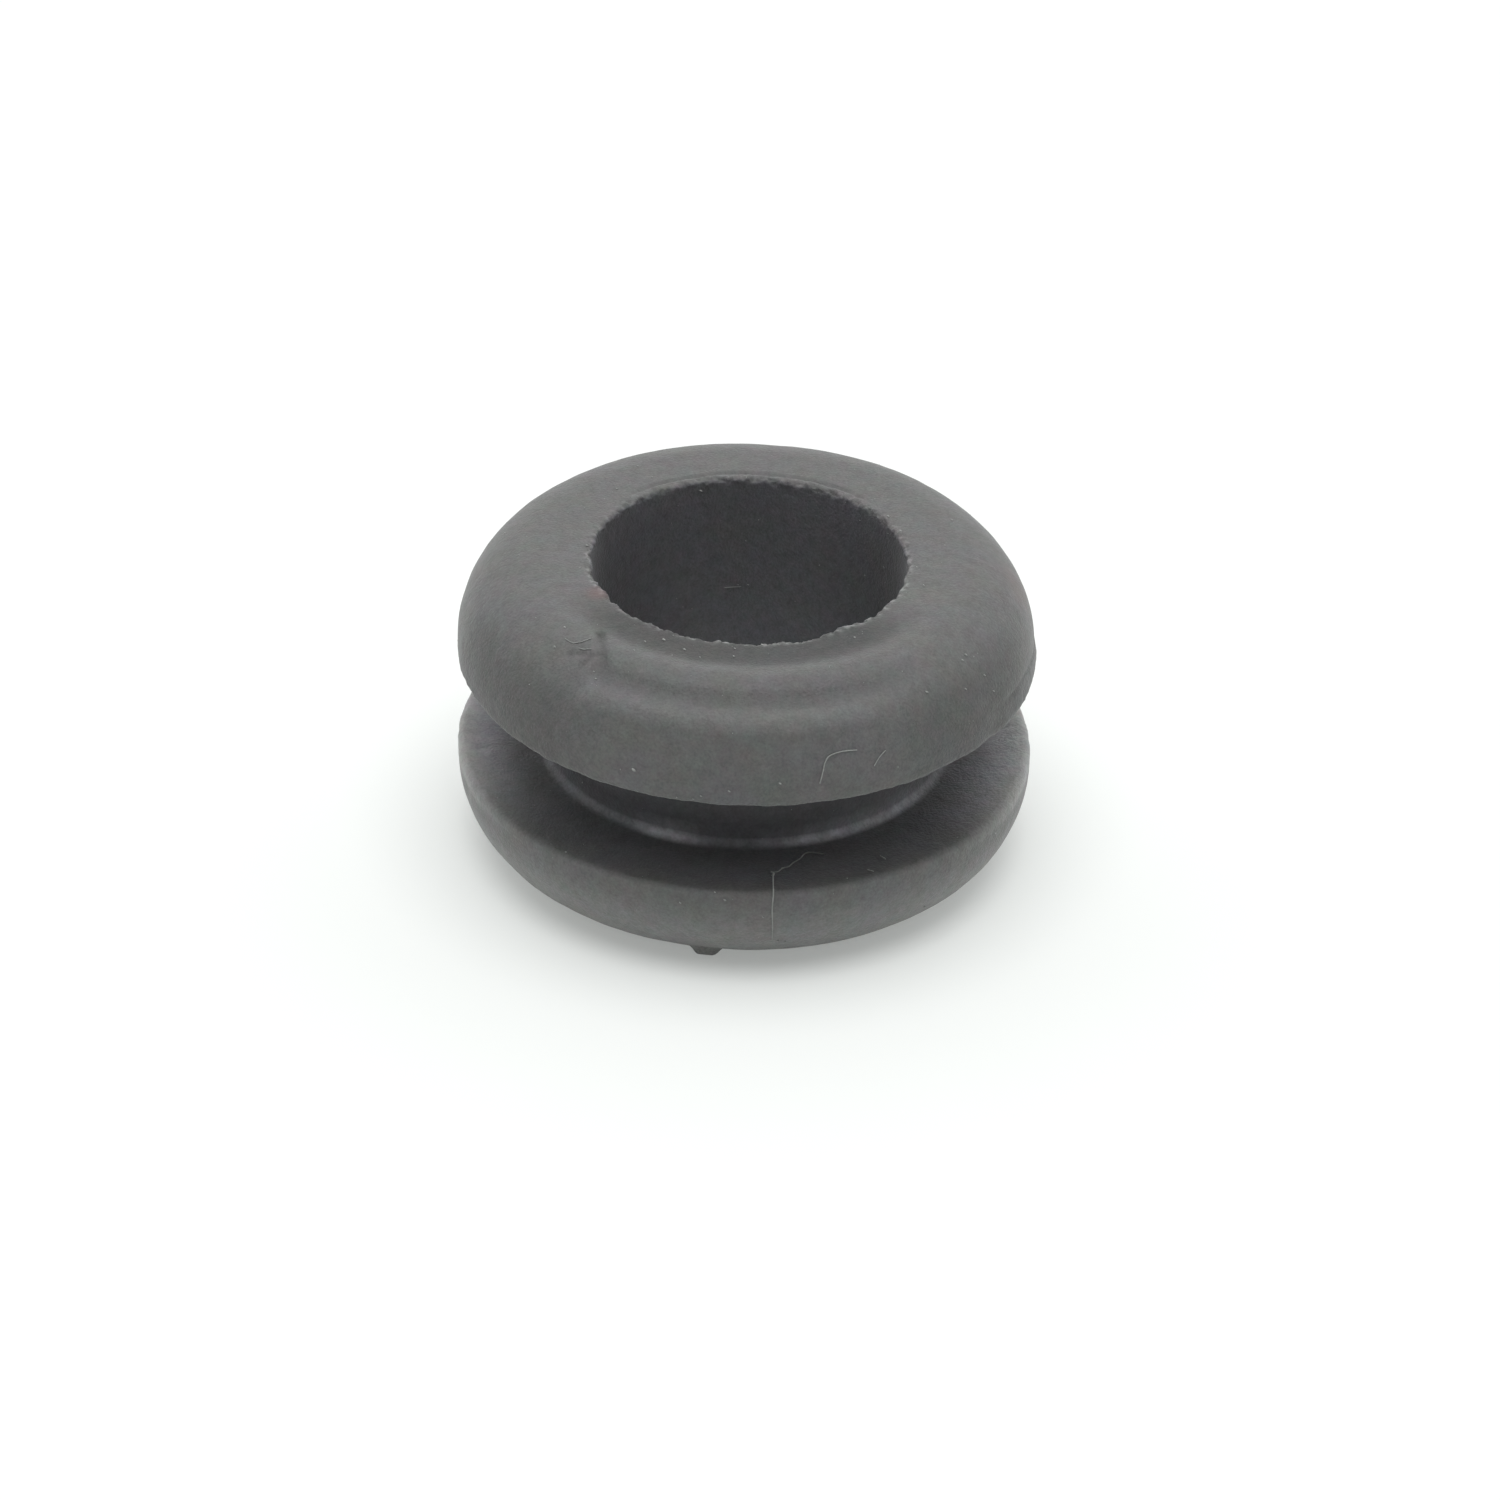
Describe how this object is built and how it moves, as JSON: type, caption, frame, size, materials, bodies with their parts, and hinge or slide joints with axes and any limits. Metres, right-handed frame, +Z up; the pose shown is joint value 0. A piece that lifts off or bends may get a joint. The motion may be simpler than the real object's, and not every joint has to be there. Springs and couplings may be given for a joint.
{
  "type": "rubber mounting bushing",
  "caption": "Moulded black rubber bushing: a ring with a straight bore and two rounded flanges either side of a groove that snaps into a round panel hole.",
  "frame": {"origin": "centre of the face the bushing stands on, on the bore's axis", "axes": "+Z up along the bore; the ring is the same at every turn about Z"},
  "size_m": [0.0148, 0.0146, 0.008],
  "materials": {
    "rubber": "matte moulded rubber with a faint dusty haze"
  },
  "bodies": {
    "root": {"bushing": "rubber"}
  },
  "joints": []
}
